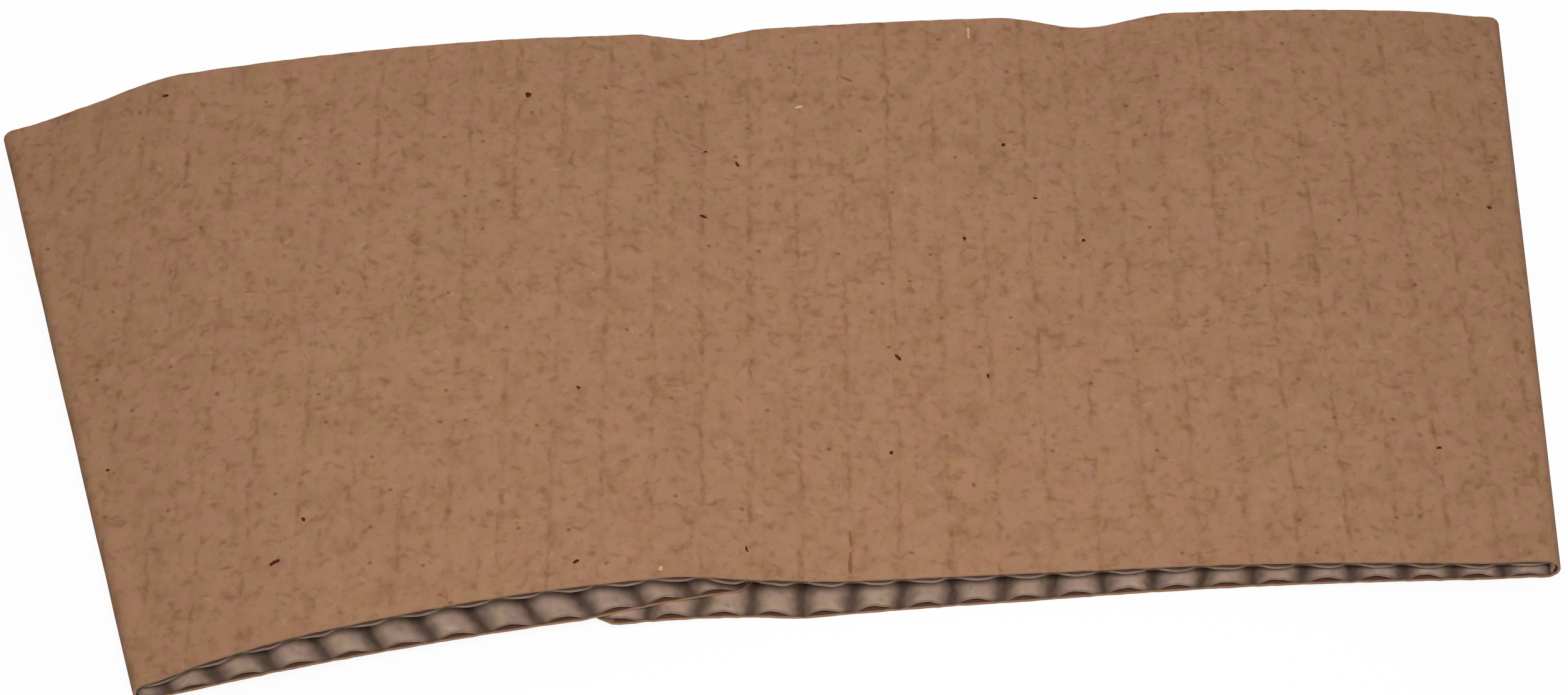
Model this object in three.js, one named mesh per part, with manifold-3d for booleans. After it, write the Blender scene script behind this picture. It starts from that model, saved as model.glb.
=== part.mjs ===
import * as THREE from 'three';
import { mergeVertices } from 'three/addons/utils/BufferGeometryUtils.js';
import Module from 'manifold-3d';

// A takeaway cup's sleeve of single-face corrugated kraft board: a smooth outer liner with a fluted
// medium glued to its inside. It is folded flat, has sprung open a little, and lies on its rear panel.
// +X runs along the sleeve and +Y towards its wide edge. Sizes are in millimetres, angles in degrees.

// The blank is a strip of a flat ring, so that the opened sleeve is a cone and fits a tapered cup.
const narrowRadius = 377;
const sleeveHeight = 64;
const halfPanelAngle = 8.67;

// The board, with the flutes a little flattened by packing.
const linerThickness = 0.25;
const mediumThickness = 0.22;
const fluteHeight = 0.63;
const flutePitch = 4;
const fluteLean = 6.45;
const fluteStart = 1.8;
const glueWidth = 1;

// The rear seam: the flap from the left fold lies inside the rear panel and is glued to its flutes. It
// ends a little to the left of the middle, over the end of the part from the right fold, and tapers.
const flapEndFromMiddle = 7;
const seamLap = 14;
const flapTaper = 2;
const endCornerRadius = 3;
const glueBite = 0.05;

// The two folds, where the board is pressed flatter and turned round. Each takes up some of its length,
// which sets how the flutes of the rear panel meet those of the front one.
const foldClearance = 0.3;
const foldLeg = 0.6;
const leftBendAllowance = 1.3;
const rightBendAllowance = 3;
const crushedShare = 0.5;
const crushWidth = 6;
const foldLift = 2.05;

// How far each panel stands above its place in the sleeve when that is pressed flat on a table. Each
// pair is a place across the panel, from -1 at the left fold to 1 at the right, and a lift there.
const frontLiftNarrowEdge = [
  [-0.92, 3.15], [-0.75, 4.5], [-0.45, 5.2], [-0.26, 4.95], [-0.14, 3.5],
  [0, 2.2], [0.15, 1.75], [0.35, 1.5], [0.6, 1.65], [0.9, 1.65],
];
const frontLiftWideEdge = [
  [-0.91, 3.2], [-0.77, 5.3], [-0.55, 5], [-0.34, 4.3], [-0.2, 3.5],
  [0, 2.75], [0.25, 2.5], [0.45, 2.3], [0.78, 2.65], [0.9, 2.55],
];
const rearLift = [
  [-0.45, 1.9], [-0.3, 1.7], [-0.2, 1.25], [-0.12, 0.6], [-0.06, 0],
  [0.22, 0], [0.36, 0.25], [0.53, 0.65], [0.8, 1.3], [0.92, 1.65],
];
const flapLift = [[-0.8, 1.4], [-0.5, 1.75]];

// Two shallow dents in the front panel's wide edge, which fade out towards the narrow one.
const dents = [
  { place: -0.08, halfWidth: 0.09, depth: 0.95 },
  { place: 0.45, halfWidth: 0.12, depth: 1.45 },
];
const dentReach = 0.6;

// How finely the surfaces are divided.
const frontRows = 3;
const rearRows = 2;
const foldSegments = 6;
const tunnelSegments = 6;
const scanSteps = 64;
const widestJump = 4;
const finestStep = 0.2;
const smallest = 1e-5;

const wideRadius = narrowRadius + sleeveHeight;
const fold = THREE.MathUtils.degToRad(halfPanelAngle);
const lean = THREE.MathUtils.degToRad(fluteLean);
const board = linerThickness + fluteHeight + mediumThickness;
const crushedBoard = linerThickness + mediumThickness + fluteHeight * crushedShare;
const foldRadius = crushedBoard + foldClearance;
const foldHeight = board + foldLift;
const tunnelWidth = flutePitch - glueWidth;
const middleRadius = (narrowRadius * Math.cos(fold) + wideRadius) / 2;
const leftBend = leftBendAllowance / middleRadius;
const rightBend = rightBendAllowance / middleRadius;
const blankSpan = 3 * fold + Math.max(leftBend, rightBend);

// A smooth curve through places and heights, with no overshoot between them.
function curveThrough(points) {
  const steepness = points.map((point, i) => {
    if (i === 0 || i === points.length - 1) return 0;
    const before = (point[1] - points[i - 1][1]) / (point[0] - points[i - 1][0]);
    const after = (points[i + 1][1] - point[1]) / (points[i + 1][0] - point[0]);
    return before * after > 0 ? (2 * before * after) / (before + after) : 0;
  });
  return (place) => {
    const last = points.length - 1;
    if (place <= points[0][0]) return points[0][1];
    if (place >= points[last][0]) return points[last][1];
    const i = points.findIndex((point) => point[0] > place) - 1;
    const span = points[i + 1][0] - points[i][0];
    const s = (place - points[i][0]) / span;
    const rise = points[i + 1][1] - points[i][1];
    const bend = steepness[i] * span * s * (1 - s) ** 2 - steepness[i + 1] * span * s * s * (1 - s);
    return points[i][1] + rise * s * s * (3 - 2 * s) + bend;
  };
}

// The height of each panel's outer face over the table, which is z = 0.
const foldTop = foldHeight + foldRadius;
const foldUnder = foldHeight - foldRadius;
const raised = (points, base) => points.map(([place, lift]) => [place, base + lift]);
const frontNarrow = curveThrough([[-1, foldTop], ...raised(frontLiftNarrowEdge, 2 * board), [1, foldTop]]);
const frontWide = curveThrough([[-1, foldTop], ...raised(frontLiftWideEdge, 2 * board), [1, foldTop]]);
const rearRight = curveThrough([...rearLift, [1, foldUnder]]);

// The flap is glued down on the flutes of the part under it, as far as that reaches.
const lapEndFromMiddle = flapEndFromMiddle + seamLap;
const lapPlace = -lapEndFromMiddle / (narrowRadius * Math.sin(fold));
const seat = board - glueBite;
const flapFree = curveThrough([
  [-1, foldUnder], ...raised(flapLift, seat), [lapPlace, rearRight(lapPlace) + seat],
]);
const rearLeft = (place) => (place > lapPlace ? rearRight(place) + seat : flapFree(place));

function frontHeight(place, share) {
  const fade = THREE.MathUtils.smoothstep(share, 1 - dentReach, 1);
  const dent = dents.reduce((sum, { place: middle, halfWidth, depth }) => {
    return sum + depth * (1 - THREE.MathUtils.smoothstep(Math.abs(place - middle), 0, halfWidth));
  }, 0);
  return THREE.MathUtils.lerp(frontNarrow(place), frontWide(place), share) - dent * fade;
}

// The clear height under the liner at a distance across the flutes: none along a glue line, and full
// under the crest of the dome between two of them.
function tunnelHeight(across) {
  const fromEdge = THREE.MathUtils.euclideanModulo(across - fluteStart - glueWidth / 2, flutePitch);
  const fromCrest = Math.min(Math.abs((2 * fromEdge) / tunnelWidth - 1), 1);
  return fluteHeight * (1 - fromCrest ** 2);
}

// The depth of a point inside each edge of a panel, from its angle round the ring and its radius.
const insideRims = (radius) => Math.min(radius - narrowRadius, wideRadius - radius);
const insideFold = (angle, radius) => radius * Math.sin(fold - Math.abs(angle));

// The depth inside an end of the blank, whose corners are rounded.
function insideEnd(fromEnd, fromRim, cornerRadius) {
  const intoCorner = Math.max(fromEnd, fromRim);
  if (intoCorner > cornerRadius) return Math.min(fromEnd, fromRim);
  return cornerRadius - Math.hypot(cornerRadius - fromEnd, cornerRadius - fromRim);
}

// The three panels. turned takes an angle of the flat blank to its place after folding, and back.
const panels = {
  front: {
    turned: (angle) => angle,
    inside: (angle, radius) => insideRims(radius),
    height: frontHeight,
    intoBoard: -1,
    rowCount: frontRows,
  },
  rearRight: {
    turned: (angle) => 2 * fold + rightBend - angle,
    inside: (angle, radius) => {
      const fromEnd = radius * Math.sin(angle) + lapEndFromMiddle;
      return insideEnd(fromEnd, insideRims(radius), endCornerRadius);
    },
    height: rearRight,
    intoBoard: 1,
    rowCount: rearRows,
  },
  rearLeft: {
    turned: (angle) => -2 * fold - leftBend - angle,
    inside: (angle, radius) => {
      const fromEnd = -radius * Math.sin(angle) - flapEndFromMiddle;
      const taper = flapTaper * THREE.MathUtils.clamp(1 - fromEnd / seamLap, 0, 1);
      return insideEnd(fromEnd, insideRims(radius) - taper, endCornerRadius);
    },
    height: rearLeft,
    intoBoard: 1,
    rowCount: rearRows,
  },
};

// The place in a panel of a point given by its distances across and along the flutes from the centre
// of the ring.
function polarPlace(panel, across, along) {
  const angle = panel.turned(lean + Math.atan2(across, along));
  return { angle, radius: Math.hypot(across, along) };
}

function depthInPanel(panel, across, along) {
  const { angle, radius } = polarPlace(panel, across, along);
  return Math.min(panel.inside(angle, radius), insideFold(angle, radius) - foldRadius);
}

// The stretch of a straight line along the flutes that lies inside a panel, or null.
function lineInPanel(panel, across) {
  const nearest = narrowRadius * Math.cos(Math.asin(across / narrowRadius)) - 1;
  const step = (wideRadius - nearest) / scanSteps;
  const isInside = (along) => depthInPanel(panel, across, along) >= 0;
  const edgeBetween = (outside, inside) => {
    while (Math.abs(inside - outside) > smallest) {
      const middle = (outside + inside) / 2;
      if (isInside(middle)) inside = middle;
      else outside = middle;
    }
    return inside;
  };
  let first = null;
  let last = null;
  for (let along = nearest; along < wideRadius; along += step) {
    if (isInside(along)) {
      first ??= along;
      last = along;
    }
  }
  if (first === null) return null;
  return { across, from: edgeBetween(first - step, first), to: edgeBetween(last + step, last) };
}

// The lines of a panel's section, from one edge to the other. More are put in where the panel's edge
// runs nearly along the flutes, so that the edge stays true.
function linesInPanel(panel) {
  const farthest = wideRadius * Math.sin(blankSpan + lean);
  const stops = [];
  for (let flute = -Math.ceil(farthest / flutePitch); flute * flutePitch < farthest; flute += 1) {
    const tunnelEdge = fluteStart + flute * flutePitch + glueWidth / 2;
    for (let i = 0; i <= tunnelSegments; i += 1) {
      stops.push(tunnelEdge + (tunnelWidth * i) / tunnelSegments);
    }
  }
  const lines = [];
  const divide = (left, right) => {
    const width = right.across - left.across;
    const bothOutside = !left.line && !right.line;
    const isSmooth = left.line && right.line
      && Math.abs(left.line.from - right.line.from) < widestJump
      && Math.abs(left.line.to - right.line.to) < widestJump;
    if (bothOutside || isSmooth || width < finestStep) return;
    const across = (left.across + right.across) / 2;
    const middle = { across, line: lineInPanel(panel, across) };
    divide(left, middle);
    if (middle.line) lines.push({ ...middle.line, isAtEdge: true });
    divide(middle, right);
  };
  let previous = null;
  for (const across of stops) {
    const next = { across, line: lineInPanel(panel, across) };
    if (previous) divide(previous, next);
    if (next.line) lines.push(next.line);
    previous = next;
  }
  return lines;
}

// A closed mesh as a solid, with its shared corners merged.
const wasm = await Module();
wasm.setup();

function toSolid(geometry) {
  const bare = geometry.clone();
  bare.deleteAttribute('normal');
  bare.deleteAttribute('uv');
  const merged = mergeVertices(bare, smallest);
  return new wasm.Manifold(new wasm.Mesh({
    numProp: 3,
    vertProperties: merged.attributes.position.array,
    triVerts: new Uint32Array(merged.index.array),
  }));
}

// The corners of one panel's section along a line of the flutes, row by row: the liner's outer and
// inner face, then the medium's outer and inner face.
function cornersAlong(panel, line) {
  const rows = [];
  for (let row = 0; row <= panel.rowCount; row += 1) {
    const along = THREE.MathUtils.lerp(line.from, line.to, row / panel.rowCount);
    const { angle, radius } = polarPlace(panel, line.across, along);
    const x = radius * Math.sin(angle);
    const y = radius * Math.cos(angle) - middleRadius;
    const face = panel.height(angle / fold, (radius - narrowRadius) / sleeveHeight);
    const fromFold = insideFold(angle, radius) - foldRadius;
    const fullness = THREE.MathUtils.smoothstep(fromFold, 0, crushWidth);
    const tunnel = tunnelHeight(line.across) * THREE.MathUtils.lerp(crushedShare, 1, fullness);
    const crest = linerThickness + tunnel;
    const depths = [0, linerThickness, crest, crest + mediumThickness];
    rows.push(depths.map((depth) => [x, y, face + panel.intoBoard * depth]));
  }
  return rows;
}

// One panel of board: the liner and the medium are two skins that meet along the glue lines, with the
// tunnels between them open at both ends. The liner is straight from one glue line to the next, so it
// needs fewer columns than the medium.
function panelSolid(panel) {
  const mediumColumns = linesInPanel(panel).map((line, index, all) => {
    const isGlued = tunnelHeight(line.across) < smallest;
    const isLast = index === 0 || index === all.length - 1;
    return { index, isGlued, inLiner: isGlued || line.isAtEdge || isLast, rows: cornersAlong(panel, line) };
  });
  const linerColumns = mediumColumns.filter((column) => column.inLiner);
  const positions = [];
  const addFace = (a, b, c, d) => positions.push(...a, ...b, ...c, ...a, ...c, ...d);
  const addSkin = (columns, top, under, tunnelSide) => {
    for (let i = 0; i < columns.length - 1; i += 1) {
      const left = columns[i];
      const right = columns[i + 1];
      const isGlued = left.isGlued && right.isGlued && right.index === left.index + 1;
      for (let row = 0; row < panel.rowCount; row += 1) {
        const [a, b] = [left.rows[row], right.rows[row]];
        const [d, c] = [left.rows[row + 1], right.rows[row + 1]];
        if (!isGlued || top !== tunnelSide) addFace(a[top], b[top], c[top], d[top]);
        if (!isGlued || under !== tunnelSide) addFace(a[under], d[under], c[under], b[under]);
      }
      const [a, b] = [left.rows[0], right.rows[0]];
      const [d, c] = [left.rows[panel.rowCount], right.rows[panel.rowCount]];
      addFace(a[under], b[under], b[top], a[top]);
      addFace(c[under], d[under], d[top], c[top]);
    }
    const first = columns[0].rows;
    const last = columns[columns.length - 1].rows;
    for (let row = 0; row < panel.rowCount; row += 1) {
      addFace(first[row + 1][under], first[row][under], first[row][top], first[row + 1][top]);
      addFace(last[row][under], last[row + 1][under], last[row + 1][top], last[row][top]);
    }
  };
  addSkin(linerColumns, 0, 1, 1);
  addSkin(mediumColumns, 2, 3, 2);
  const geometry = new THREE.BufferGeometry();
  geometry.setAttribute('position', new THREE.Float32BufferAttribute(positions, 3));
  return toSolid(geometry);
}

// A fold: the crushed board turned round a half circle, with two short legs that run into the panels.
function foldSolid(side) {
  const legEnd = foldRadius + foldLeg;
  const innerRadius = foldRadius - crushedBoard;
  const section = new THREE.Shape();
  section.moveTo(legEnd, foldRadius);
  section.lineTo(foldRadius, foldRadius);
  section.absarc(foldRadius, 0, foldRadius, Math.PI / 2, 1.5 * Math.PI, false);
  section.lineTo(legEnd, -foldRadius);
  section.lineTo(legEnd, -innerRadius);
  section.lineTo(foldRadius, -innerRadius);
  section.absarc(foldRadius, 0, innerRadius, 1.5 * Math.PI, Math.PI / 2, true);
  section.lineTo(legEnd, innerRadius);
  const geometry = new THREE.ExtrudeGeometry(section, {
    depth: sleeveHeight, bevelEnabled: false, curveSegments: foldSegments,
  });
  const inward = new THREE.Vector3(-side * Math.cos(fold), Math.sin(fold), 0);
  const up = new THREE.Vector3(0, 0, 1);
  const along = new THREE.Vector3().crossVectors(inward, up);
  const startRadius = side > 0 ? narrowRadius : wideRadius;
  const start = new THREE.Vector3(
    side * startRadius * Math.sin(fold),
    startRadius * Math.cos(fold) - middleRadius,
    foldHeight,
  );
  geometry.applyMatrix4(new THREE.Matrix4().makeBasis(inward, up, along).setPosition(start));
  return toSolid(geometry);
}

const sleeve = panelSolid(panels.front)
  .add(panelSolid(panels.rearRight))
  .add(panelSolid(panels.rearLeft))
  .add(foldSolid(-1))
  .add(foldSolid(1));

const { vertProperties, triVerts } = sleeve.getMesh();
const sleeveGeometry = new THREE.BufferGeometry();
sleeveGeometry.setAttribute('position', new THREE.BufferAttribute(vertProperties, 3));
sleeveGeometry.setIndex(new THREE.BufferAttribute(triVerts, 1));
const kraft = new THREE.MeshStandardMaterial({ color: 0xa0785c, roughness: 0.9, metalness: 0 });
const sleeveMesh = new THREE.Mesh(sleeveGeometry, kraft);
sleeveMesh.name = 'sleeve';

const group = new THREE.Group();
group.add(sleeveMesh);
export default group;
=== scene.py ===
import math

import bmesh
import bpy
from mathutils import Matrix, Vector, noise


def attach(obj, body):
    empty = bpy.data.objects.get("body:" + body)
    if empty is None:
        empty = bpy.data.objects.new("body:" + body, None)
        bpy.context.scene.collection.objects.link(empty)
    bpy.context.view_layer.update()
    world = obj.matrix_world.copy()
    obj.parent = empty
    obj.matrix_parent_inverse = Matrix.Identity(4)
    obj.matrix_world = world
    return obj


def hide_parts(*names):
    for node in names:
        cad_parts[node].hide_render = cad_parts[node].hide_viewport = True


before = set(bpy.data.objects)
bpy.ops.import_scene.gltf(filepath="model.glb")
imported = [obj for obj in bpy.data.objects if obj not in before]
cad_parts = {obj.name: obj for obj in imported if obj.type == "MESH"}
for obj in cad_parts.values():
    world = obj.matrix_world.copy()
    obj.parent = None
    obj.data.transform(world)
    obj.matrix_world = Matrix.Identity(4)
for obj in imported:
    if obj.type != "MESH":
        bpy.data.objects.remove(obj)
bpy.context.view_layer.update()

# Outer liner
# The smooth outside of the sleeve: unprinted recycled kraft paper, 0.25 mm thick. It is cut as part of
# a flat ring, folded over at both ends and lapped at the rear, where the flap is glued down inside.
narrow_radius = 377
sleeve_height = 64
wide_radius = narrow_radius + sleeve_height
fold_angle = math.radians(8.67)
middle_radius = (narrow_radius * math.cos(fold_angle) + wide_radius) / 2
liner_thickness = 0.25
board = 1.1
fold_radius = 1.085
fold_height = 3.15
fold_take_up = {-1: 1.3 / middle_radius, 1: 3 / middle_radius}

flute_pitch = 4
flute_lean = math.radians(6.45)
flute_start = 1.8
first_flute = -44
last_flute = 28

flap_end = -7
under_end = -21
flap_taper = 2
corner_radius = 3
corner_cuts = 4
bend_cuts = 12

front_lift_narrow = [
    (-0.92, 3.15), (-0.75, 4.5), (-0.45, 5.2), (-0.26, 4.95), (-0.14, 3.5),
    (0, 2.2), (0.15, 1.75), (0.35, 1.5), (0.6, 1.65), (0.9, 1.65),
]
front_lift_wide = [
    (-0.91, 3.2), (-0.77, 5.3), (-0.55, 5), (-0.34, 4.3), (-0.2, 3.5),
    (0, 2.75), (0.25, 2.5), (0.45, 2.3), (0.78, 2.65), (0.9, 2.55),
]
rear_lift = [
    (-0.45, 1.9), (-0.3, 1.7), (-0.2, 1.25), (-0.12, 0.6), (-0.06, 0),
    (0.22, 0), (0.36, 0.25), (0.53, 0.65), (0.8, 1.3), (0.92, 1.65),
]
flap_lift = [(-0.8, 1.4), (-0.5, 1.75)]
flap_seat = 1.05
dents = [(-0.08, 0.09, 0.95), (0.45, 0.12, 1.45)]
dent_reach = 0.6
cockle_depth = 0.07
rim_raggedness = 0.06
rim_band = 0.002
paper_relief = 0.03
# Painted shade: the sides of the liner and the medium that face into the flute tunnels are coloured dark, for the
# shade inside the tunnels.
tunnel_painted_shade = ((0.075, 0.032, 0.022), 0.9)


def ease(value, low, high):
    """A smooth step from 0 at low to 1 at high."""
    share = min(max((value - low) / (high - low), 0), 1)
    return share * share * (3 - 2 * share)


def curve_through(points):
    """A smooth curve through places and heights, with no overshoot between them."""
    slopes = [0]
    for before, here, after in zip(points, points[1:], points[2:]):
        coming = (here[1] - before[1]) / (here[0] - before[0])
        going = (after[1] - here[1]) / (after[0] - here[0])
        slopes.append(2 * coming * going / (coming + going) if coming * going > 0 else 0)
    slopes.append(0)

    def height_at(place):
        if place <= points[0][0]:
            return points[0][1]
        if place >= points[-1][0]:
            return points[-1][1]
        i = next(i for i, point in enumerate(points) if point[0] > place) - 1
        span = points[i + 1][0] - points[i][0]
        s = (place - points[i][0]) / span
        rise = points[i + 1][1] - points[i][1]
        bend = slopes[i] * span * s * (1 - s) ** 2 - slopes[i + 1] * span * s * s * (1 - s)
        return points[i][1] + rise * s * s * (3 - 2 * s) + bend

    return height_at


fold_top = fold_height + fold_radius
fold_under = fold_height - fold_radius
front_narrow = curve_through(
    [(-1, fold_top)] + [(place, lift + 2 * board) for place, lift in front_lift_narrow] + [(1, fold_top)]
)
front_wide = curve_through(
    [(-1, fold_top)] + [(place, lift + 2 * board) for place, lift in front_lift_wide] + [(1, fold_top)]
)
rear_right = curve_through(rear_lift + [(1, fold_under)])
lap_place = under_end / (narrow_radius * math.sin(fold_angle))
flap_free = curve_through(
    [(-1, fold_under)]
    + [(place, lift + flap_seat) for place, lift in flap_lift]
    + [(lap_place, rear_right(lap_place) + flap_seat)]
)


def front_height(place, share):
    """The front panel's outer face, from the left fold at -1 to the right one at 1."""
    height = front_narrow(place) + (front_wide(place) - front_narrow(place)) * share
    fade = ease(share, 1 - dent_reach, 1)
    for middle, half_width, depth in dents:
        height -= depth * fade * (1 - ease(abs(place - middle), 0, half_width))
    return height


def rear_height(place, side):
    """The rear panel's outer face: the part from the right fold, or the flap from the left one."""
    if side > 0:
        return rear_right(place)
    if place > lap_place:
        return rear_right(place) + flap_seat
    return flap_free(place)


def fold_over(flat, depth):
    """Takes a point of the flat blank, at a depth in the board, to its place in the folded sleeve."""
    side = 1 if flat.x > 0 else -1
    radius = flat.length
    angle = math.atan2(abs(flat.x), flat.y)
    on_front = radius * math.sin(fold_angle - angle)
    on_rear = radius * math.sin(angle - fold_angle - fold_take_up[side])
    inward = max(on_front, on_rear)
    turn = 0
    in_bend = inward < fold_radius
    if in_bend:
        round_bend = (fold_radius - on_front) / (2 * fold_radius - on_front - on_rear)
        turn = math.pi * (round_bend - 0.5)
        inward = fold_radius - (fold_radius - depth) * math.cos(turn)
    along_fold = math.sqrt(radius ** 2 - inward ** 2)
    x = side * (along_fold * math.sin(fold_angle) - inward * math.cos(fold_angle))
    y = along_fold * math.cos(fold_angle) + inward * math.sin(fold_angle)
    if in_bend:
        return Vector((x, y - middle_radius, fold_height - (fold_radius - depth) * math.sin(turn)))
    edge = math.asin(fold_radius / radius)
    place = side * (fold_angle - math.asin(inward / radius)) / (fold_angle - edge)
    if on_rear > on_front:
        return Vector((x, y - middle_radius, rear_height(place, side) + depth))
    cockle = cockle_depth * ease(inward, fold_radius, 12) * (1 + noise.noise(flat / 13)) / 2
    share = (radius - narrow_radius) / sleeve_height
    return Vector((x, y - middle_radius, front_height(place, share) - cockle - depth))


def flat_blank(columns_per_flute, rows):
    """The flat blank: its columns run along the flutes, and its folds are scored."""
    sheet = bmesh.new()
    flutes = last_flute - first_flute
    bmesh.ops.create_grid(sheet, x_segments=flutes * columns_per_flute, y_segments=rows, size=1)
    for vert in sheet.verts:
        across = flute_start + flute_pitch * (first_flute + flutes * (vert.co.x + 1) / 2)
        share = (vert.co.y + 1) / 2
        if 0 < min(share, 1 - share) < 1.5 / rows:
            share = rim_band if share < 0.5 else 1 - rim_band
        near = math.sqrt(narrow_radius ** 2 - across ** 2)
        far = math.sqrt(wide_radius ** 2 - across ** 2)
        tear = rim_raggedness * (1 + noise.noise(Vector((across / 0.8, round(share), 0))))
        near += tear * (1 - ease(share, 0, 0.05))
        far -= tear * ease(share, 0.95, 1)
        vert.co = (across, near + (far - near) * share, 0)
    bmesh.ops.rotate(sheet, verts=sheet.verts, matrix=Matrix.Rotation(-flute_lean, 3, "Z"))

    for side, end in ((1, under_end), (-1, flap_end)):
        end_turn = 2 * fold_angle + fold_take_up[side]
        out = Vector((side * math.cos(end_turn), -math.sin(end_turn), 0))
        up_end = Vector((side * math.sin(end_turn), math.cos(end_turn), 0))
        reach = -side * end
        end_taper = flap_taper if side < 0 else 0
        for vert in sheet.verts:
            from_end = reach - out.dot(vert.co)
            if end_taper and from_end < flap_end - under_end:
                radius = vert.co.length
                to_middle = (narrow_radius + wide_radius) / 2 - radius
                taper = end_taper * min(1 - from_end / (flap_end - under_end), 1)
                vert.co *= 1 + taper * to_middle / (sleeve_height / 2) / radius
        everything = sheet.verts[:] + sheet.edges[:] + sheet.faces[:]
        bmesh.ops.bisect_plane(sheet, geom=everything, plane_co=out * reach, plane_no=out, clear_outer=True)
        for rim, outward in ((narrow_radius + end_taper, -1), (wide_radius - end_taper, 1)):
            corner = out * reach + up_end * math.sqrt(rim ** 2 - reach ** 2)
            tilt = math.atan(outward * reach / rim + end_taper / (flap_end - under_end))
            inset = (1 - math.sin(tilt)) / math.cos(tilt)
            middle = corner - (out + up_end * outward * inset) * corner_radius
            for cut in range(corner_cuts):
                turn = (math.pi / 2 - tilt) * (cut + 0.5) / corner_cuts
                slant = out * math.cos(turn) + up_end * outward * math.sin(turn)
                near_by = [f for f in sheet.faces if (f.calc_center_median() - corner).length < 2 * corner_radius]
                around = {vert for face in near_by for vert in face.verts}
                borders = {edge for face in near_by for edge in face.edges}
                bmesh.ops.bisect_plane(
                    sheet, geom=near_by + list(borders) + list(around),
                    plane_co=middle + slant * corner_radius, plane_no=slant, clear_outer=True,
                )

    for side in (-1, 1):
        for cut in range(bend_cuts + 1):
            turn = fold_angle + fold_take_up[side] * cut / bend_cuts
            out = Vector((side * math.cos(turn), -math.sin(turn), 0))
            place = out * (fold_radius * (2 * cut / bend_cuts - 1))
            everything = sheet.verts[:] + sheet.edges[:] + sheet.faces[:]
            bmesh.ops.bisect_plane(sheet, geom=everything, plane_co=place, plane_no=out)
    return sheet


def add_piece(name, shape, finish):
    """Makes a finished mesh, in millimetres, a piece of the sleeve."""
    bmesh.ops.scale(shape, verts=shape.verts, vec=(0.001, 0.001, 0.001))
    for face in shape.faces:
        face.smooth = True
    for edge in shape.edges:
        edge.smooth = edge.is_manifold and edge.calc_face_angle(0) < math.radians(50)
    mesh = bpy.data.meshes.new(name)
    shape.to_mesh(mesh)
    shape.free()
    mesh.materials.append(finish)
    piece = bpy.data.objects.new(name, mesh)
    bpy.context.scene.collection.objects.link(piece)
    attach(piece, "root")
    return piece


def folded_paper(sheet, depth_at, thickness, tunnel_facing_side):
    """Folds a flat sheet over, gives it its thickness inwards, and marks the side in the tunnels, which gets
    painted shade.
    """
    blank_place = sheet.verts.layers.float_vector.new("blank_place")
    cut_rim = sheet.verts.layers.float.new("cut_rim")
    in_tunnels = sheet.verts.layers.float.new("in_tunnels")
    outer_face = sheet.verts.layers.float_vector.new("outer_face")
    unlean = Matrix.Rotation(flute_lean, 3, "Z")
    for vert in sheet.verts:
        flat = vert.co.copy()
        flute_place = unlean @ flat
        vert[blank_place] = flute_place
        vert[cut_rim] = vert.is_boundary
        vert.co = fold_over(flat, depth_at(flat, flute_place))
        vert[outer_face] = vert.co
    sheet.normal_update()
    bmesh.ops.solidify(sheet, geom=sheet.faces[:], thickness=thickness)
    for vert in sheet.verts:
        on_inner_side = (vert.co - vert[outer_face]).length > thickness / 2
        vert[in_tunnels] = on_inner_side == (tunnel_facing_side == "inner")
    sheet.verts.layers.float_vector.remove(outer_face)
    bmesh.ops.recalc_face_normals(sheet, faces=sheet.faces[:])
    return sheet


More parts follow.
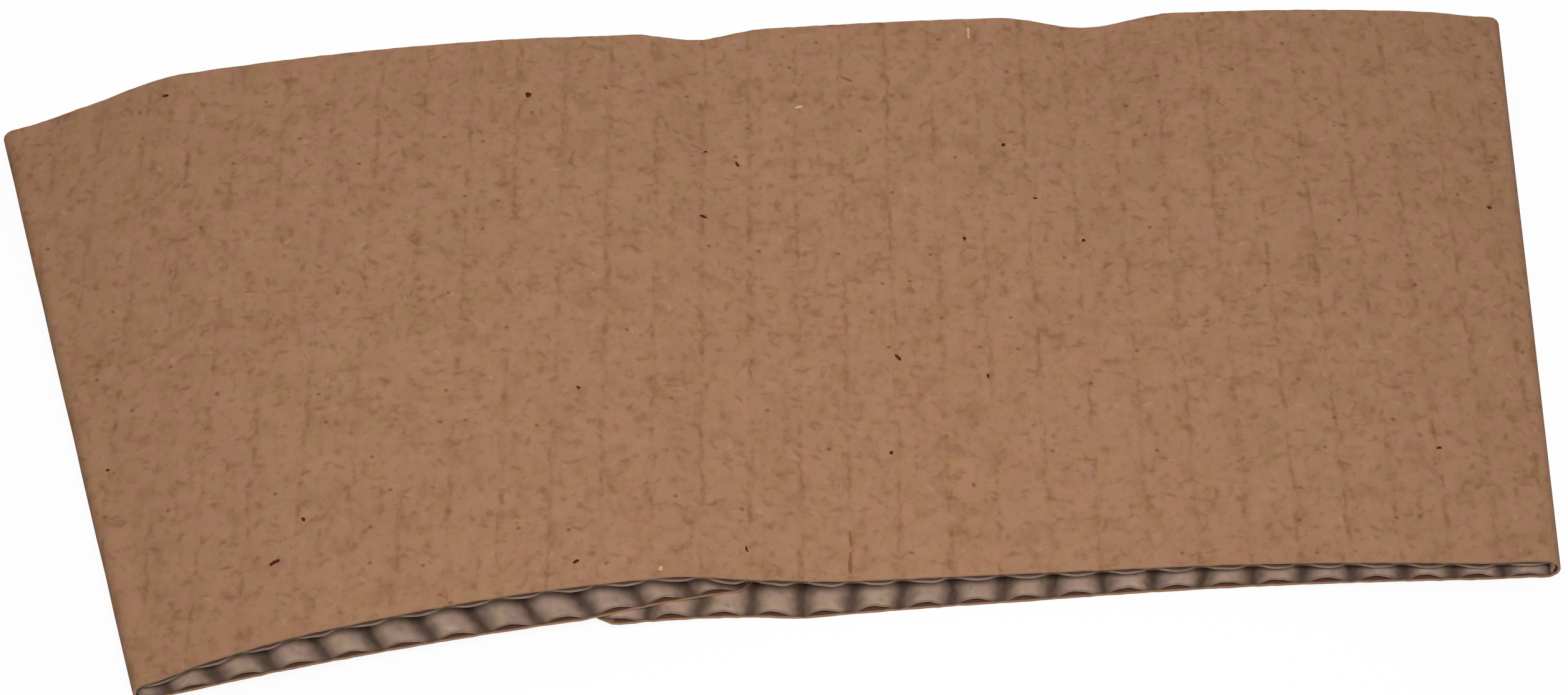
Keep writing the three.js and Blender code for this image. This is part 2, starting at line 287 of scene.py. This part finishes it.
def kraft_paper(name, pulps, patch_grain, dark, pale, smudge, worms, hairs, glue_lines_and_valley_shade, cut_face):
    """Recycled paper: two pulps, soft smudges, curved fibres, short hairs, darker lines along the flute tips
    (glue lines on the liner, painted shade in the medium's valleys), and painted shade in the tunnels.
    """
    finish = bpy.data.materials.new(name)
    finish.use_nodes = True
    nodes = finish.node_tree.nodes
    links = finish.node_tree.links
    shader = nodes["Principled BSDF"]
    shader.inputs["Roughness"].default_value = 0.9
    shader.inputs["Specular IOR Level"].default_value = 0.2
    place = nodes.new("ShaderNodeAttribute")
    place.attribute_name = "blank_place"

    def grain(layer, scale, detail, roughness=0.6, distortion=0):
        mapping = nodes.new("ShaderNodeMapping")
        mapping.inputs["Location"].default_value = (7.1 * layer, 3.7 * layer, 5.3 * layer)
        mapping.inputs["Scale"].default_value = (*scale, 1)
        links.new(place.outputs["Vector"], mapping.inputs["Vector"])
        texture = nodes.new("ShaderNodeTexNoise")
        texture.inputs["Scale"].default_value = 1
        texture.inputs["Detail"].default_value = detail
        texture.inputs["Roughness"].default_value = roughness
        texture.inputs["Distortion"].default_value = distortion
        links.new(mapping.outputs["Vector"], texture.inputs["Vector"])
        return texture.outputs["Fac"]

    def spread(value, low, high, top=1):
        ramp = nodes.new("ShaderNodeMapRange")
        ramp.interpolation_type = "SMOOTHSTEP"
        ramp.inputs["From Min"].default_value = low
        ramp.inputs["From Max"].default_value = high
        ramp.inputs["To Max"].default_value = top
        links.new(value, ramp.inputs["Value"])
        return ramp.outputs["Result"]

    def reckon(operation, first, second=0):
        step = nodes.new("ShaderNodeMath")
        step.operation = operation
        for socket, value in zip(step.inputs, (first, second)):
            if isinstance(value, (int, float)):
                socket.default_value = value
            else:
                links.new(value, socket)
        return step.outputs["Value"]

    def tint(below, shade, amount):
        mix = nodes.new("ShaderNodeMix")
        mix.data_type = "RGBA"
        mix.inputs["B"].default_value = (*shade, 1)
        links.new(amount, mix.inputs["Factor"])
        if isinstance(below, tuple):
            mix.inputs["A"].default_value = (*below, 1)
        else:
            links.new(below, mix.inputs["A"])
        return mix.outputs["Result"]

    def stray_hairs(spacing, length, width, chance, bend):
        bent = nodes.new("ShaderNodeTexNoise")
        bent.inputs["Scale"].default_value = 0.9 / length
        bent.inputs["Detail"].default_value = 1
        links.new(place.outputs["Vector"], bent.inputs["Vector"])
        drift = nodes.new("ShaderNodeVectorMath")
        drift.operation = "MULTIPLY_ADD"
        drift.inputs[1].default_value = (bend, bend, 0)
        links.new(bent.outputs["Color"], drift.inputs[0])
        links.new(place.outputs["Vector"], drift.inputs[2])
        cells = nodes.new("ShaderNodeTexVoronoi")
        cells.voronoi_dimensions = "2D"
        cells.inputs["Scale"].default_value = 1 / spacing
        links.new(drift.outputs["Vector"], cells.inputs["Vector"])
        offset = nodes.new("ShaderNodeVectorMath")
        offset.operation = "SUBTRACT"
        links.new(drift.outputs["Vector"], offset.inputs[0])
        links.new(cells.outputs["Position"], offset.inputs[1])
        dice = nodes.new("ShaderNodeSeparateColor")
        links.new(cells.outputs["Color"], dice.inputs["Color"])
        spin = nodes.new("ShaderNodeVectorRotate")
        spin.rotation_type = "Z_AXIS"
        links.new(offset.outputs["Vector"], spin.inputs["Vector"])
        links.new(reckon("MULTIPLY", dice.outputs["Red"], 2 * math.pi), spin.inputs["Angle"])
        squeeze = nodes.new("ShaderNodeVectorMath")
        squeeze.operation = "MULTIPLY"
        squeeze.inputs[1].default_value = (2 / length, 2 / width, 0)
        links.new(spin.outputs["Vector"], squeeze.inputs[0])
        from_middle = nodes.new("ShaderNodeVectorMath")
        from_middle.operation = "LENGTH"
        links.new(squeeze.outputs["Vector"], from_middle.inputs[0])
        shape = spread(from_middle.outputs["Value"], 1.2, 0.2)
        kept = spread(dice.outputs["Green"], chance, chance - 0.12)
        return reckon("MULTIPLY", shape, kept)

    patches = grain(1, patch_grain, 2)
    clouds = grain(40, (0.22, 0.17), 2)
    blots = grain(2, (0.75, 0.55), 2, 0.5)
    fuzz = grain(3, (1.6, 1.15), 2, 0.5)
    shade = tint(pulps[0], pulps[1], spread(patches, 0.38, 0.62))
    shade = tint(shade, dark, spread(clouds, 0.42, 0.66, smudge * 0.5))
    shade = tint(shade, dark, spread(blots, 0.5, 0.72, smudge * 1.4))
    shade = tint(shade, pale, spread(blots, 0.48, 0.3, smudge))
    shade = tint(shade, dark, spread(fuzz, 0.52, 0.76, smudge * 1.6))
    shade = tint(shade, pale, spread(fuzz, 0.48, 0.26, smudge))

    for layer, (scale, width, amount) in enumerate(worms, 4):
        level = grain(layer, (scale, scale * 0.75), 1, 0.5)
        thin = spread(reckon("ABSOLUTE", reckon("SUBTRACT", level, 0.5)), width, 0)
        seen = spread(grain(layer + 10, (0.9, 1), 2, 0.6), 0.52, 0.68, amount)
        shade = tint(shade, dark, reckon("MULTIPLY", thin, seen))
    for colour, amount, *figures in hairs:
        shade = tint(shade, colour, reckon("MULTIPLY", stray_hairs(*figures), amount))

    # Darker lines along the flute tips: on the liner they are glue lines; on the medium, wide and strong, they
    # are painted shade in the valleys between the domes.
    half_width, steady, broken = glue_lines_and_valley_shade
    split = nodes.new("ShaderNodeSeparateXYZ")
    links.new(place.outputs["Vector"], split.inputs["Vector"])
    wander = reckon("MULTIPLY", reckon("SUBTRACT", grain(30, (0.6, 0.5), 2), 0.5), 1)
    flutes = reckon("DIVIDE", reckon("ADD", split.outputs["X"], wander), flute_pitch)
    flute_share = reckon("FRACT", reckon("SUBTRACT", flutes, flute_start / flute_pitch - 0.5))
    off_line = reckon("ABSOLUTE", reckon("SUBTRACT", flute_share, 0.5))
    near_line = spread(off_line, half_width / flute_pitch, 0)
    line_strength_here = reckon("ADD", spread(grain(31, (1.2, 0.45), 4, 0.7), 0.45, 0.7, broken), steady)
    glue_and_valley_shade_mask = reckon("MULTIPLY", near_line, line_strength_here)
    shade = tint(shade, dark, glue_and_valley_shade_mask)
    # The tunnels' insides get painted shade; the cut rims get the colour of the cut face.
    for mark, low, colour, amount in (("in_tunnels", 0.85, *tunnel_painted_shade), ("cut_rim", 0.3, *cut_face)):
        marked = nodes.new("ShaderNodeAttribute")
        marked.attribute_name = mark
        shade = tint(shade, colour, spread(marked.outputs["Fac"], low, 1, amount))

    links.new(shade, shader.inputs["Base Color"])
    height = reckon("SUBTRACT", reckon("ADD", blots, reckon("MULTIPLY", fuzz, 0.5)), glue_and_valley_shade_mask)
    bump = nodes.new("ShaderNodeBump")
    bump.inputs["Strength"].default_value = 1
    bump.inputs["Distance"].default_value = 0.001
    links.new(reckon("MULTIPLY", height, paper_relief), bump.inputs["Height"])
    links.new(bump.outputs["Normal"], shader.inputs["Normal"])
    return finish


def liner_depth(flat, flute_place):
    """The liner is drawn in a little where it is glued to the medium's tips."""
    offset = (flute_place.x - flute_start) % flute_pitch
    return 0.03 * (1 - ease(min(offset, flute_pitch - offset), 0, 1.2))


liner_kraft = kraft_paper(
    "liner_kraft",
    pulps=((0.384, 0.194, 0.118), (0.358, 0.199, 0.101)), patch_grain=(0.9, 0.72),
    dark=(0.15, 0.052, 0.008), pale=(0.46, 0.26, 0.15), smudge=0.15, worms=[(0.45, 0.13, 0.34)],
    hairs=[
        ((0.13, 0.042, 0.01), 0.3, 3.2, 1.4, 0.55, 0.5, 0.7),
        ((0.48, 0.3, 0.19), 0.35, 3.1, 1.1, 0.4, 0.3, 0.6),
        ((0.1, 0.034, 0.01), 0.6, 3.7, 0.5, 0.45, 0.3, 0.2),
    ],
    glue_lines_and_valley_shade=(0.45, 0.05, 0.42), cut_face=((0.46, 0.26, 0.15), 0.4),
)
liner_sheet = folded_paper(flat_blank(8, 34), liner_depth, liner_thickness, "inner")
outer_liner = add_piece("outer_liner", liner_sheet, liner_kraft)
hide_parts("sleeve")

# Fluted medium
# The thin wavy sheet inside, 0.26 mm of greyer recycled paper. The tip of each flute is glued to the
# liner, and the domes between them face into the sleeve. They are pressed flatter at the folds, and
# by the knife that cut the front panel's narrow edge.
medium_thickness = 0.26
flute_height = 0.6
glue_width = 1
crushed_share = 0.5
crush_width = 6
dome_unevenness = 0.16
dome_skew = 1.3
knife_press = 0.4
knife_reach = 5


def medium_depth(flat, flute_place):
    """How deep in the board the medium's outer face lies."""
    flute = math.floor((flute_place.x - flute_start) / flute_pitch + 0.5)
    tunnel_share = (flute_place.x - flute_start - glue_width / 2) % flute_pitch / (flute_pitch - glue_width)
    from_crest = abs(2 * min(tunnel_share, 1) ** dome_skew - 1)
    uneven = noise.noise(Vector((flute_place.x / 1.4, flute_place.y / 4, flute * 0.3)))
    dome = flute_height * (1 - from_crest ** 2) * (1 - dome_unevenness * (0.5 + uneven))
    radius = flat.length
    angle = math.atan2(abs(flat.x), flat.y)
    side = 1 if flat.x > 0 else -1
    on_front = radius * math.sin(fold_angle - angle)
    on_rear = radius * math.sin(angle - fold_angle - fold_take_up[side])
    fullness = ease(max(on_front, on_rear) - fold_radius, 0, crush_width)
    if on_front > on_rear:
        dome *= 1 - knife_press * (1 - ease(radius - narrow_radius, 0, knife_reach))
    return liner_thickness - 0.01 + dome * (crushed_share + (1 - crushed_share) * fullness)


# The medium's wide, strong dark lines at the flute tips are painted shade in the valleys between its domes, on
# top of the shade that the shapes give.
medium_kraft = kraft_paper(
    "medium_kraft",
    pulps=((0.45, 0.295, 0.24), (0.45, 0.315, 0.215)), patch_grain=(0.9, 0.9),
    dark=(0.05, 0.026, 0.018), pale=(0.6, 0.46, 0.36), smudge=0.13, worms=[(0.4, 0.08, 0.16)],
    hairs=[((0.6, 0.46, 0.36), 0.35, 2.2, 1.2, 0.5, 0.4, 0.6)],
    glue_lines_and_valley_shade=(1.6, 0.85, 0.1), cut_face=((0.08, 0.04, 0.028), 0.3),
)
medium_sheet = folded_paper(flat_blank(16, 34), medium_depth, medium_thickness, "outer")
fluted_medium = add_piece("fluted_medium", medium_sheet, medium_kraft)
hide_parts("sleeve")

# Bark flecks
# Splinters of bark and stray coloured fibres in the recycled pulp. They lie flat in the liner's face,
# pressed in with it, and are given by their place across and along the flutes on the flat blank.
fleck_rise = 0.012
fleck_growth = 1.3
dark_flecks = [
    (-100.74, 427.06, 0.42, 0.24, 0), (-69.37, 428.05, 0.55, 0.4, 50), (-54.14, 414.53, 0.6, 0.28, -20),
    (-51.25, 421.48, 0.7, 0.2, 115), (-53.95, 422.9, 0.26, 0.2, 0), (-31.89, 412.7, 0.38, 0.24, 80),
    (-25.64, 417.67, 0.3, 0.24, 0), (-21.75, 412.85, 0.36, 0.28, 30), (-64.25, 392.97, 0.36, 0.2, -60),
    (-37.93, 398.91, 0.7, 0.22, 125), (-38.71, 388.33, 0.34, 0.24, 60), (-30.48, 397.0, 0.42, 0.18, 90),
    (-87.81, 374.56, 0.75, 0.28, 35), (-64.02, 374.05, 0.5, 0.24, 40), (13.32, 416.55, 0.4, 0.22, -20),
    (6.11, 389.1, 0.36, 0.28, 0), (-28.12, 424.05, 0.34, 0.26, 60), (-50.55, 376.74, 0.5, 0.2, 100),
    (-85.8, 378.86, 0.45, 0.2, 120), (-102.3, 386.33, 0.35, 0.2, 10),
]
red_flecks = [(-42.24, 379.0, 1.5, 0.22, 92), (-42.3, 376.4, 1.9, 0.3, 88), (-41.58, 431.98, 0.9, 0.2, 150)]
pale_flecks = [(-45.85, 428.43, 0.6, 0.25, 20), (-57.34, 373.52, 0.4, 0.26, 80), (-30.65, 438.1, 1.3, 0.16, 90)]


def flecks(name, places, colour):
    """Thin slivers of one colour, each at its place in the front panel's face."""
    slivers = bmesh.new()
    for across, along, length, width, turn in places:
        grown = bmesh.ops.create_icosphere(slivers, subdivisions=2, radius=0.5)["verts"]
        bmesh.ops.scale(slivers, verts=grown, vec=(length * fleck_growth, width * fleck_growth, 1))
        for vert in grown:
            vert.co.x += 0.4 * width * noise.noise(Vector((vert.co.x * 6, vert.co.y * 9, across)))
            vert.co.y += 0.5 * width * noise.noise(Vector((vert.co.x * 5, along, vert.co.y * 7)))
        bmesh.ops.rotate(slivers, verts=grown, matrix=Matrix.Rotation(math.radians(turn), 3, "Z"))
        lean = Matrix.Rotation(-flute_lean, 3, "Z")
        for vert in grown:
            flat = lean @ Vector((across + vert.co.x, along + vert.co.y, 0))
            liner_sink = liner_depth(flat, Vector((across + vert.co.x, along, 0)))
            vert.co = fold_over(flat, liner_sink - 2 * fleck_rise * vert.co.z)
    finish = bpy.data.materials.new(name + "_pulp")
    finish.use_nodes = True
    nodes = finish.node_tree.nodes
    shader = nodes["Principled BSDF"]
    shader.inputs["Roughness"].default_value = 0.9
    shader.inputs["Specular IOR Level"].default_value = 0
    where = nodes.new("ShaderNodeTexCoord")
    grain = nodes.new("ShaderNodeTexNoise")
    grain.inputs["Scale"].default_value = 9000
    grain.inputs["Detail"].default_value = 2
    mix = nodes.new("ShaderNodeMix")
    mix.data_type = "RGBA"
    mix.inputs["A"].default_value = (*colour, 1)
    mix.inputs["B"].default_value = (*[channel * 1.9 for channel in colour], 1)
    links = finish.node_tree.links
    links.new(where.outputs["Object"], grain.inputs["Vector"])
    links.new(grain.outputs["Fac"], mix.inputs["Factor"])
    links.new(mix.outputs["Result"], shader.inputs["Base Color"])
    return add_piece(name, slivers, finish)


flecks("dark_flecks", dark_flecks, (0.05, 0.017, 0.007))
flecks("red_flecks", red_flecks, (0.17, 0.075, 0.036))
flecks("pale_flecks", pale_flecks, (0.4, 0.265, 0.17))

# Table
# A plain white table that the sleeve lies on, under a pale room and one large soft lamp, which hangs
# over the front edge, so that only the rim of the open mouth is lit. The camera sees the table white.
table_bounce = 0.35
white_share = 0.8
table = bmesh.new()
bmesh.ops.create_grid(table, x_segments=1, y_segments=1, size=3)
table_mesh = bpy.data.meshes.new("table")
table.to_mesh(table_mesh)
table.free()
table_top = bpy.data.objects.new("table", table_mesh)
bpy.context.scene.collection.objects.link(table_top)


def seen_directly(nodes, links):
    """1 where the camera, a gloss or a glass looks at this, and 0 for the light that it throws."""
    path = nodes.new("ShaderNodeLightPath")
    either = path.outputs["Is Camera Ray"]
    for other in ("Is Glossy Ray", "Is Transmission Ray"):
        both = nodes.new("ShaderNodeMath")
        both.operation = "MAXIMUM"
        links.new(either, both.inputs[0])
        links.new(path.outputs[other], both.inputs[1])
        either = both.outputs["Value"]
    return either


white_top = bpy.data.materials.new("white_top")
white_top.use_nodes = True
top_nodes = white_top.node_tree.nodes
top_links = white_top.node_tree.links
top_nodes["Principled BSDF"].inputs["Base Color"].default_value = (table_bounce, table_bounce, table_bounce, 1)
top_nodes["Principled BSDF"].inputs["Roughness"].default_value = 0.9
glow = top_nodes.new("ShaderNodeEmission")
glow.inputs["Strength"].default_value = (1 - table_bounce * (1 - white_share)) / white_share
share = top_nodes.new("ShaderNodeMath")
share.operation = "MULTIPLY"
share.inputs[1].default_value = white_share
blend = top_nodes.new("ShaderNodeMixShader")
top_links.new(seen_directly(top_nodes, top_links), share.inputs[0])
top_links.new(share.outputs["Value"], blend.inputs["Fac"])
top_links.new(top_nodes["Principled BSDF"].outputs["BSDF"], blend.inputs[1])
top_links.new(glow.outputs["Emission"], blend.inputs[2])
top_links.new(blend.outputs["Shader"], top_nodes["Material Output"].inputs["Surface"])
table_mesh.materials.append(white_top)

room = bpy.data.worlds.new("room")
room.use_nodes = True
room_nodes = room.node_tree.nodes
room_links = room.node_tree.links
sky_way = room_nodes.new("ShaderNodeTexCoord")
sky_height = room_nodes.new("ShaderNodeSeparateXYZ")
ceiling = room_nodes.new("ShaderNodeMapRange")
ceiling.inputs["To Min"].default_value = 0.05
ceiling.inputs["To Max"].default_value = 0.45
white = room_nodes.new("ShaderNodeMath")
white.operation = "MAXIMUM"
room_links.new(sky_way.outputs["Generated"], sky_height.inputs["Vector"])
room_links.new(sky_height.outputs["Z"], ceiling.inputs["Value"])
room_links.new(ceiling.outputs["Result"], white.inputs[0])
room_links.new(seen_directly(room_nodes, room_links), white.inputs[1])
room_nodes["Background"].inputs["Color"].default_value = (1, 1, 1, 1)
room_links.new(white.outputs["Value"], room_nodes["Background"].inputs["Strength"])
bpy.context.scene.world = room

soft_lamp = bpy.data.lights.new("soft_lamp", "AREA")
soft_lamp.shape = "DISK"
soft_lamp.size = 0.12
soft_lamp.spread = math.radians(40)
soft_lamp.energy = 0.103
lamp_place = Vector((-0.005, -0.292, 0.39))
lamp_aim = Vector((0, 0.008, 0))
lamp_stand = bpy.data.objects.new("soft_lamp", soft_lamp)
lamp_turn = (lamp_place - lamp_aim).to_track_quat("Z", "Y").to_matrix().to_4x4()
lamp_stand.matrix_world = Matrix.Translation(lamp_place) @ lamp_turn
bpy.context.scene.collection.objects.link(lamp_stand)

# Camera
# It looks down at the sleeve's narrow edge from the front left, as the photograph does.
photo_width = 2513
focal_pixels = 7300
right = Vector((0.99257848, -0.12115577, 0.01045154))
down = Vector((-0.0812973, -0.72503155, -0.68390057))
ahead = Vector((0.0904362, 0.67797531, -0.72950036))
camera_lens = bpy.data.cameras.new("camera")
camera_lens.sensor_fit = "HORIZONTAL"
camera_lens.sensor_width = 36
camera_lens.lens = 36 * focal_pixels / photo_width
camera_lens.clip_start = 0.01
camera = bpy.data.objects.new("camera", camera_lens)
aim = Matrix((right, -down, -ahead)).transposed().to_4x4()
camera.matrix_world = Matrix.Translation((-0.0364, -0.2609, 0.28064)) @ aim
bpy.context.scene.collection.objects.link(camera)
bpy.context.scene.camera = camera

bpy.context.scene.view_settings.view_transform = "Standard"
